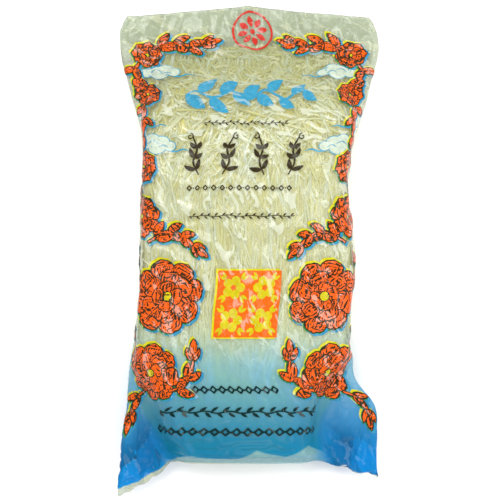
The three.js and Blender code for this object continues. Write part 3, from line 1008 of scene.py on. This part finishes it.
# An orange leaf with a black middle vein.
def leaf(base, heading, length, width, bend, tier):
    printed(lambda grow: leafGrid(base, heading, length, width, bend, grow=grow), tier)
    middle = leafGrid(base, heading, length, width, bend)[1:-1].mean(axis=1)
    put("black", strokeGrid(middle[:-2], printing["fineLine"], 0.6), tier - 0.6)


flower = dict(
    # petals of each tier, where they start and end and how wide they are, as shares of the radius
    tiers=((4, 0.05, 0.40, 0.42), (6, 0.20, 0.72, 0.52), (8, 0.44, 1.0, 0.60)),
    tierTurn=0.5, tierDrop=2.4, everyOther=1.1, fat=1.25, blunt=0.55,
    veinedFrom=12, veinLean=0.2, vein=(0.12, 0.6), heart=0.12, heartRim=0.13, rimLine=0.35,
)


# A many-petalled blossom: three tiers of blunt petals with veins, round a plain heart.
def blossom(centre, radius, turn):
    centre = np.asarray(centre, float)
    lean = flower["veinLean"]
    for tier, (petals, inner, outer, wide) in enumerate(flower["tiers"]):
        outermost = tier == len(flower["tiers"]) - 1
        length, width = (outer - inner) * radius, wide * radius
        for k in range(petals):
            heading = turn + tier * flower["tierTurn"] + 2 * np.pi * k / petals
            base = centre + inner * radius * turned(heading)
            level = tier * flower["tierDrop"] + (k % 2) * flower["everyOther"]
            shape = dict(fat=flower["fat"], blunt=flower["blunt"])
            printed(lambda grow: leafGrid(base, heading, length, width, grow=grow, **shape),
                    level, outermost)
            for way in (-lean, lean) if outermost and radius > flower["veinedFrom"] else ():
                vein = [base + share * length * turned(heading + way) for share in flower["vein"]]
                put("black", strokeGrid(vein, printing["fineLine"], 0.5), level - 0.5)
    put("fret", roundGrid(centre, flower["heart"] * radius), -10)
    put("black", roundGrid(centre, flower["heartRim"] * radius, grow=flower["rimLine"]), -1)


sprayLook = dict(stem=1.5, lean=0.65, bend=0.5, firstLeaf=0.6, shrink=0.35, tip=0.8, tipBend=0.2,
                 tier=4, leafTier=0.8, sideTier=0.3, tipTier=1.5)


# A stem with leaves in pairs, which get smaller towards its tip.
def spray(points, leaves, length, width):
    look = sprayLook
    line = smoothLine(points)
    printed(lambda grow: strokeGrid(line, look["stem"], 0.5, grow), look["tier"])
    along = unit(np.gradient(line, axis=0))
    for k in range(leaves):
        at = int((k + look["firstLeaf"]) / leaves * (len(line) - 1))
        size = 1 - look["shrink"] * k / leaves
        for side in (-1, 1):
            leaf(line[at], headingOf(along[at]) + side * look["lean"], length * size, width * size,
                 -side * look["bend"], look["tier"] - look["leafTier"] - look["sideTier"] * side)
    leaf(line[-1] - along[-1], headingOf(along[-1]), length * look["tip"], width * look["tip"],
         look["tipBend"], look["tier"] - look["tipTier"])


# Parts of a small cloud, as shares of its size: across, up and radius, and a tail that runs out.
cloud = dict(
    lobes=((-0.95, -0.10, 0.42), (-0.35, 0.22, 0.58), (0.35, 0.12, 0.52), (0.95, -0.14, 0.40),
           (0.0, -0.22, 0.62)),
    arcs=((-0.25, 0.12, 0.42), (0.45, -0.12, 0.34)), arcShape=((-1, -0.3), (0, 0.2), (1, -0.3)),
    tail=((0.7, -0.45), (1.4, -0.52), (1.9, -0.38), (2.4, -0.5)),
    squash=0.8, rim=0.5, tailWidth=0.9,
)


# A pale cloud of round lobes, with a rim and two arcs in blue.
def cloudlet(centre, size, side):
    centre = np.asarray(centre, float)
    for x, y, r in cloud["lobes"]:
        spot = centre + size * np.array([side * x, y])
        put("outline", roundGrid(spot, r * size, squash=cloud["squash"], grow=cloud["rim"]))
        put("cloud", roundGrid(spot, r * size, squash=cloud["squash"]))
    for x, y, r in cloud["arcs"]:
        arc = [centre + size * np.array([side * x + r * a, y + r * b]) for a, b in cloud["arcShape"]]
        put("blue", strokeGrid(smoothLine(arc), cloud["rim"], 0.6), -0.5)
    tail = [centre + size * np.array([side * x, y]) for x, y in cloud["tail"]]
    put("outline", strokeGrid(smoothLine(tail), cloud["tailWidth"], 0.7))


# The frame of flowers, leaves and clouds down both sides and over the top, as places on one half
# of the film: across from its middle, and along from the bag's middle, with the radius or size.
# A spray has its stem, the number of pairs of leaves, and their length and width.
garland = dict(
    turnStep=0.4, otherSide=np.pi / 9,     # how far each blossom is turned
    blossoms=((-42, -24, 19), (-49, -63, 15), (-57, 17, 11), (-57, 43, 8.5), (-58, 87, 8.5),
              (-55, 116, 8.5)),
    clouds=((-49, 104, 8.5), (-61, 68, 7), (-49, 55, 7.5)),
    sprays=(
        (((-52, 118), (-42, 123), (-31, 121), (-22, 122.5)), 4, 10.5, 4.8),
        (((-60, 110), (-64, 103), (-62, 95)), 2, 9.0, 4.2),
        (((-57, 82), (-61, 74), (-58, 66), (-60, 54)), 3, 9.0, 4.0),
        (((-60, 36), (-64, 30), (-60, 24)), 2, 8.0, 3.6),
        (((-52, 4), (-43, 9), (-34, 7), (-26, 0)), 4, 9.0, 4.2),
        (((-60, 2), (-64, -6), (-62, -14)), 2, 9.0, 4.2),
        (((-40, -72), (-33, -70), (-27, -62), (-26, -52)), 3, 9.5, 4.2),
        (((-60, -40), (-65, -46), (-64, -54)), 2, 8.0, 3.6),
        (((-58, -74), (-64, -78), (-66, -86)), 2, 7.0, 3.0),
    ),
)


def printGarland():
    for side in (1, -1):
        otherSide = 0 if side > 0 else garland["otherSide"]
        for k, (x, y, radius) in enumerate(garland["blossoms"]):
            blossom((side * x, y), radius, garland["turnStep"] * k + otherSide)
        for x, y, size in garland["clouds"]:
            cloudlet((side * x, y), size, side)
        for points, leaves, length, width in garland["sprays"]:
            spray([(side * x, y) for x, y in points], leaves, length, width)


# An orange square with four yellow plum blossoms and leaves at their corners, and a thin yellow
# edge out of register.
badge = dict(centre=(1.3, -27.5), side=34.0, edge=1.2, apart=8.3, ring=3.7, petal=2.5, heart=1.3,
             edgeDown=0.6, edgeUp=0.8, petals=5, petalTurn=0.3, petalTier=0.1, leaves=4,
             leafPlace=1.6, leafLean=0.45, leafLength=4.4, leafWidth=1.8)


def printBadge():
    cx, cy = badge["centre"]
    half = badge["side"] / 2
    put("panel", barGrid(cx - half, cy - half, cx + half, cy + half))
    edge = badge["edge"]
    low, high = cy - half - edge * badge["edgeDown"], cy + half + edge * badge["edgeUp"]
    put("yellow", barGrid(cx - half - edge, low, cx + half - edge, high))
    for kx in (-1, 1):
        for ky in (-1, 1):
            centre = np.array((cx + kx * badge["apart"], cy + ky * badge["apart"]))
            for k in range(badge["petals"]):
                away = np.pi / 2 + k * 2 * np.pi / badge["petals"] + badge["petalTurn"] * kx
                petal = roundGrid(centre + badge["ring"] * turned(away), badge["petal"])
                put("fret", petal, k * badge["petalTier"])
            put("panel", roundGrid(centre, badge["heart"]), -6)
            for k in range(badge["leaves"]):
                away = np.pi / 4 + k * np.pi / 2
                base = centre + badge["leafPlace"] * badge["ring"] * turned(away)
                for lean in (-badge["leafLean"], badge["leafLean"]):
                    put("fret", leafGrid(base, away + lean, badge["leafLength"], badge["leafWidth"], -lean))


# Bean sprigs in black: a bent stem with pairs of leaves, where along it they stand, and a curled
# tendril. The stem's points are given across, towards the side it leans to, and as shares of height.
sprigs = dict(
    places=(-27.5, -10.0, 7.8, 25.2), middle=49.0, height=20.0, stem=1.15, leaf=(7.2, 2.5),
    line=((-2.2, -1 / 2), (0.8, -1 / 6), (-0.6, 1 / 6), (2.0, 1 / 2)), pairs=(0.16, 0.45, 0.72),
    shrink=0.16, narrower=0.86, lean=0.95, leanMore=0.1, bend=0.7, curlOut=(1.6, 0.2), curlRadius=1.9,
    curlTurns=1.1, curlTighten=0.7, curlLine=0.7,
)


def printSprigs():
    y = printHeight(sprigs["middle"])
    fullLength, width = sprigs["leaf"]
    for k, x in enumerate(sprigs["places"]):
        way = 1 if k % 2 else -1
        line = smoothLine([(x + way * a, y + b * sprigs["height"]) for a, b in sprigs["line"]])
        put("black", strokeGrid(line, sprigs["stem"], 0.4))
        along = unit(np.gradient(line, axis=0))
        for pair, at in enumerate(sprigs["pairs"]):
            i = int(at * (len(line) - 1))
            for side in (-1, 1):
                length = fullLength * (1 - sprigs["shrink"] * pair)
                length = length * (sprigs["narrower"] if side == way else 1)
                heading = headingOf(along[i]) + side * (sprigs["lean"] + sprigs["leanMore"] * (k % 3))
                put("black", leafGrid(line[i], heading, length, width, -side * sprigs["bend"]), -0.4)
        out, up = sprigs["curlOut"]
        tendril = curl(line[-1] + (way * out, up), sprigs["curlRadius"], np.pi / 2,
                       way * sprigs["curlTurns"], sprigs["curlTighten"])
        put("black", strokeGrid(tendril, sprigs["curlLine"]), -0.6)


# A running vine in blue: a wavy stem with broad leaves above and below by turns, which get smaller
# from left to right.
vine = dict(left=-35.0, right=35.0, middle=81.5, sway=2.6, turns=3.5, stem=2.0, points=60,
            leaves=11, firstLeaf=0.35, length=15.0, width=8.0, lean=0.95, bend=0.6, shrink=0.35)


def printVine():
    s = np.linspace(0, 1, vine["points"])
    along = vine["left"] + (vine["right"] - vine["left"]) * s
    wave = vine["sway"] * np.sin(2 * np.pi * vine["turns"] * s)
    line = np.stack([along, printHeight(vine["middle"]) + wave], axis=1)
    put("outline", strokeGrid(line, vine["stem"], 0.5))
    for k in range(vine["leaves"]):
        share = (k + vine["firstLeaf"]) / vine["leaves"]
        base = line[int(share * (vine["points"] - 1))]
        side = 1 if k % 2 else -1
        size = 1 - vine["shrink"] * share
        length, width = vine["length"] * size, vine["width"] * size
        put("outline", leafGrid(base, side * vine["lean"], length, width, -side * vine["bend"]))


# Ornamental rules, by ink, height, ends, number of units and size: a laurel is a fine line with
# pairs of leaves, and a band is a row of lozenges with dots between them.
rules = (
    dict(kind="laurel", ink="black", height=65.7, left=-24.0, right=21.0, count=13, size=3.0),
    dict(kind="band", ink="black", height=32.2, left=-30.0, right=24.0, count=13, size=2.4),
    dict(kind="laurel", ink="black", height=17.8, left=-30.5, right=26.0, count=15, size=3.2),
    dict(kind="band", ink="navy", height=-71.0, left=-26.0, right=16.5, count=10, size=3.4),
    dict(kind="laurel", ink="navy", height=-82.7, left=-45.0, right=36.0, count=15, size=5.8),
    dict(kind="band", ink="navy", height=-93.3, left=-46.0, right=35.5, count=17, size=3.8),
)


# Their parts, as shares of the size.
laurel = dict(points=80, sway=0.1, swayRate=0.5, line=0.13, lean=0.75, length=0.8, width=0.26, bend=0.3)
lozenge = dict(corners=((-1, 0), (0, 1), (1, 0), (0, -1), (-1, 0)), line=0.17, overlap=0.05, dot=0.15)


def printLaurel(ink, places, y, size):
    run = np.linspace(places[0], places[-1], laurel["points"])
    height = y + laurel["sway"] * size * np.sin(run * laurel["swayRate"])
    put(ink, strokeGrid(np.stack([run, height], axis=1), laurel["line"] * size))
    pitch = places[1] - places[0]
    for x in places[:-1]:
        for side in (-1, 1):
            base = (x + pitch / 4 * (1 + side), y)
            put(ink, leafGrid(base, side * laurel["lean"], laurel["length"] * size, laurel["width"] * size,
                              -side * laurel["bend"]))


def printBand(ink, places, y, size):
    for x in places:
        tips = [(x + size / 2 * a, y + size / 2 * b) for a, b in lozenge["corners"]]
        for start, end in zip(tips[:-1], tips[1:]):
            put(ink, strokeGrid([start, end], lozenge["line"] * size, grow=lozenge["overlap"] * size))
    for x in (places[:-1] + places[1:]) / 2:
        put(ink, roundGrid((x, y), lozenge["dot"] * size))


def printRules():
    for rule in rules:
        places = np.linspace(rule["left"], rule["right"], rule["count"])
        draw = printLaurel if rule["kind"] == "laurel" else printBand
        draw(rule["ink"], places, printHeight(rule["height"]), rule["size"])


# A small red rosette in a ring at the top.
rosette = dict(centre=(1.9, 116.4), radius=10.6, line=1.2, petals=8, turn=0.2, heart=0.13,
               petal=(0.22, 0.56, 0.30), fat=1.1)    # where a petal starts, its length and width


def printRosette():
    x, y = rosette["centre"]
    centre, r = np.array((x, printHeight(y))), rosette["radius"]
    put("red", strokeGrid(curl(centre, r, 0, 1, 0), rosette["line"]))
    start, length, width = np.array(rosette["petal"]) * r
    for k in range(rosette["petals"]):
        heading = k * 2 * np.pi / rosette["petals"] + rosette["turn"]
        put("red", leafGrid(centre + start * turned(heading), heading, length, width, fat=rosette["fat"]))
    put("red", roundGrid(centre, rosette["heart"] * r))


# Height in the print, measured along the film from the bag's middle, of a height on the bag.
def printHeight(y):
    middleLine = flatForm[:, film["columns"] // 2, 1]
    first = int(np.argmax(middleLine > film["frontStarts"]))
    row = np.interp(y, middleLine[first:], np.arange(first, len(middleLine)))
    return float(row - middleRow) * film["spacing"]


inkLook = dict(
    dark=("black", "navy"), darkFrostAndGlare=0.08, frostAndGlare=0.26, darkGloss=0.08, gloss=0.15, roughness=0.22,
    crinkle=0.6, wearScale=420.0, wearFrom=(0.35, 0.65), wearTo=(0.90, 1.08),
)


# Ink on film: slightly uneven, creased and frosted as the film is, with the film's painted highlights.
def inkMaterial(name, colour):
    look = inkLook
    material, t = newMaterial(name + "Ink")
    place = objectPlace(t)
    isDark = name in look["dark"]
    wear = mapRange(t, noise(t, place, look["wearScale"], Detail=3.0), *look["wearFrom"], *look["wearTo"])
    tint = blend(t, 1.0, colour, wear, "MULTIPLY")
    # frost and painted highlights over the ink
    frostAndGlare = frostAndGlareAt(t, place, look["darkFrostAndGlare"] if isDark else look["frostAndGlare"])
    tint = blend(t, frostAndGlare, tint, filmLook["frostAndGlareColour"])
    shader = node(t, "BsdfPrincipled", Base_Color=tint, Roughness=look["roughness"],
                  Normal=crinkleAt(t, place, look["crinkle"]),
                  Specular_IOR_Level=look["darkGloss"] if isDark else look["gloss"])
    node(t, "OutputMaterial", Surface=shader.outputs[0])
    return material


# Lays each ink's patches on the buckled film as one mesh.
def makePrint():
    for draw in (printGarland, printBadge, printSprigs, printVine, printRules, printRosette):
        draw()
    for name, ink in inks.items():
        points, faces, start = [], [], 0
        for grid, height in patches[name]:
            column = (grid[..., 0] / film["width"] + 0.5) * film["columns"]
            row = grid[..., 1] / film["spacing"] + middleRow
            on = readRings(filmPoints, row, column)
            out = unit(readRings(filmNormals, row, column))
            points.append((on + out * height).reshape(-1, 3))
            index = start + np.arange(row.size).reshape(row.shape)
            a, b, c, d = index[:-1, :-1], index[:-1, 1:], index[1:, 1:], index[1:, :-1]
            cross = np.cross(grid[1, 0] - grid[0, 0], grid[1, 1] - grid[1, 0])
            faces.append(np.stack([a, d, c, b] if cross > 0 else [a, b, c, d], axis=-1).reshape(-1, 4))
            start += row.size
        material = inkMaterial(name, ink["colour"])
        makePiece("ink_" + name, np.concatenate(points), np.concatenate(faces), material)


# Gives the film's mesh its place in the flat tube as its UV map, in decimetres.
def setFilmPlace(bag, used):
    rows, ring = filmPoints.shape[:2]
    around = np.minimum(np.arange(ring), ring - np.arange(ring)) / film["columns"] - 0.5
    across = around[None, :] * film["width"] / 100
    along = (np.arange(rows) / (rows - 1) * filmLength / 100)[:, None]
    place = np.stack(np.broadcast_arrays(across, along), axis=-1).reshape(-1, 2)
    layer = bag.data.uv_layers.new(name="filmPlace")
    loopPoints = np.empty(len(bag.data.loops), dtype=np.int32)
    bag.data.loops.foreach_get("vertex_index", loopPoints)
    layer.data.foreach_set("uv", place[used][loopPoints].astype(np.float32).ravel())


studio = dict(
    floorColour=(0.93, 0.93, 0.93, 1), floorSide=3.0, floorRoughness=0.8, grainScale=300.0,
    grainStrength=0.03, grainDistance=0.0002, worldLight=0.72,
    # place, power and size of each lamp
    lamps=dict(key=((-0.30, 0.50, 1.10), 10.2, 0.62), fill=((0.80, 0.05, 0.80), 5.6, 0.60),
               low=((0.1, -0.95, 0.60), 3.5, 0.60), glint=((0.30, 0.85, 0.70), 2.2, 0.12)),
    lens=200.0, eye=(0.0008, 0.0, 1.481),
    transparentBounces=32, bounces=12, diffuseBounces=8,
)


# Puts an object in the scene.
def link(made):
    bpy.context.scene.collection.objects.link(made)


# A matt pale floor under the bag.
def makeFloor():
    side = studio["floorSide"]
    mesh = bpy.data.meshes.new("floor")
    corners = [(-side, -side, 0), (side, -side, 0), (side, side, 0), (-side, side, 0)]
    mesh.from_pydata(corners, [], [(0, 1, 2, 3)])
    floor = bpy.data.objects.new("floor", mesh)
    link(floor)
    paper, t = newMaterial("palePaper")
    grain = noise(t, objectPlace(t), studio["grainScale"])
    bump = node(t, "Bump", Strength=studio["grainStrength"], Distance=studio["grainDistance"], Height=grain)
    shader = node(t, "BsdfPrincipled", Base_Color=studio["floorColour"], Roughness=studio["floorRoughness"],
                  Normal=bump.outputs[0])
    node(t, "OutputMaterial", Surface=shader.outputs[0])
    mesh.materials.append(paper)


# Soft lamps round the bag, an even surround, and the camera straight above it.
def makeLightsAndCamera():
    for name, (spot, power, size) in studio["lamps"].items():
        light = bpy.data.lights.new(name, "AREA")
        light.energy = power
        light.size = size
        lamp = bpy.data.objects.new(name, light)
        lamp.location = spot
        lamp.rotation_euler = (-Vector(spot)).to_track_quat("-Z", "Y").to_euler()
        link(lamp)
    scene = bpy.context.scene
    world = bpy.data.worlds.new("studio")
    scene.world = world
    world.use_nodes = True
    background = world.node_tree.nodes["Background"]
    background.inputs["Color"].default_value = (1, 1, 1, 1)
    background.inputs["Strength"].default_value = studio["worldLight"]
    scene.view_settings.view_transform = "Standard"
    scene.cycles.transparent_max_bounces = studio["transparentBounces"]
    scene.cycles.max_bounces = studio["bounces"]
    scene.cycles.diffuse_bounces = studio["diffuseBounces"]
    camera = bpy.data.cameras.new("camera")
    camera.lens = studio["lens"]
    eye = bpy.data.objects.new("camera", camera)
    eye.location = studio["eye"]
    link(eye)
    scene.camera = eye


flatForm, filmPoints, filmLength = buckledFilm()
allPoints = flatForm.reshape(-1, 3)
shift = (allPoints.min(0) + allPoints.max(0)) / 2 * (1, 1, 0)
filmPoints = filmPoints - shift
filmNormals = ringNormals(filmPoints)
third = len(filmPoints) // 3
middleRow = np.interp(0, filmPoints[third:, film["columns"] // 2, 1], np.arange(third, len(filmPoints)))
bagPoints, used, bagFaces = ringFaces(filmPoints)
bag = makePiece("film_bag", bagPoints, bagFaces, filmMaterial())
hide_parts("noodle_bag")
setFilmPlace(bag, used)
report("film")
makeNoodles()
report("noodles")
makePrint()
report("print")
makeFloor()
makeLightsAndCamera()
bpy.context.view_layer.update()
report("scene ready")
